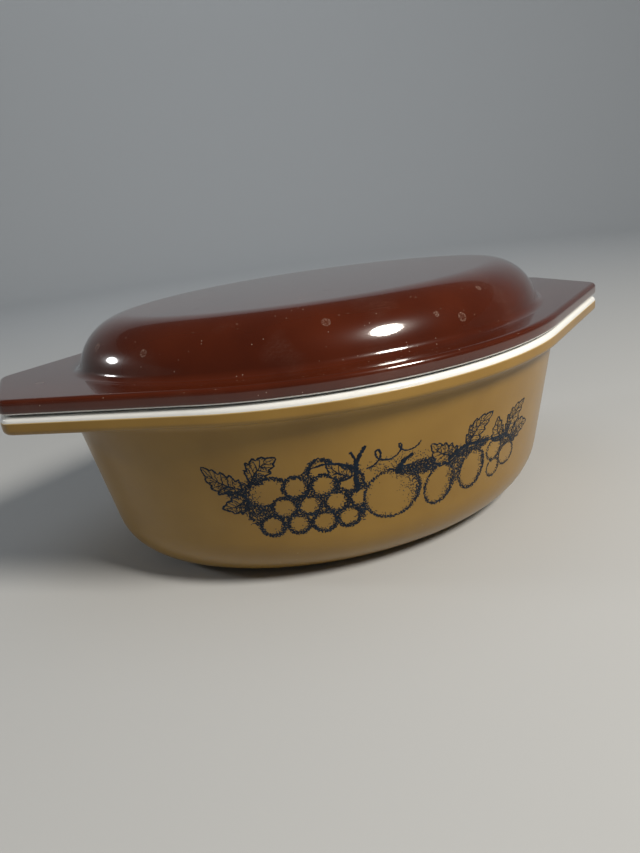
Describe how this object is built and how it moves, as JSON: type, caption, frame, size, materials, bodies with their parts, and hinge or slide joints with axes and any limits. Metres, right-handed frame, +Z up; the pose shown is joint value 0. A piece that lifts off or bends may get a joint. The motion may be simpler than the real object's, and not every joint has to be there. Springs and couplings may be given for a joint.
{
  "type": "covered casserole dish",
  "caption": "Oval covered casserole dish of pressed opal glass, with flat tab handles on dish and lid and a low flat-topped domed lid that lifts off.",
  "frame": {"origin": "centre of the plane that the foot stands on, below the middle of the oval", "axes": "+X along the handles, +Y across the dish, +Z up"},
  "size_m": [0.324, 0.2134, 0.1251],
  "materials": {
    "ochre_enamel": "glossy fired enamel, golden ochre, over pressed opal glass",
    "brown_enamel": "glossy fired enamel, dark reddish brown, over pressed opal glass",
    "opal_glass": "fire-polished white opal glass",
    "print_ink": "screen-printed blue-black ceramic ink, fired on"
  },
  "bodies": {
    "dish": {"dish": "ochre_enamel"},
    "lid": {"lid": "brown_enamel"}
  },
  "joints": [
    {"name": "lid_lift", "type": "slide", "parent": "dish", "child": "lid", "axis": [0, 0, 1], "range_m": [0, 0.15]}
  ]
}
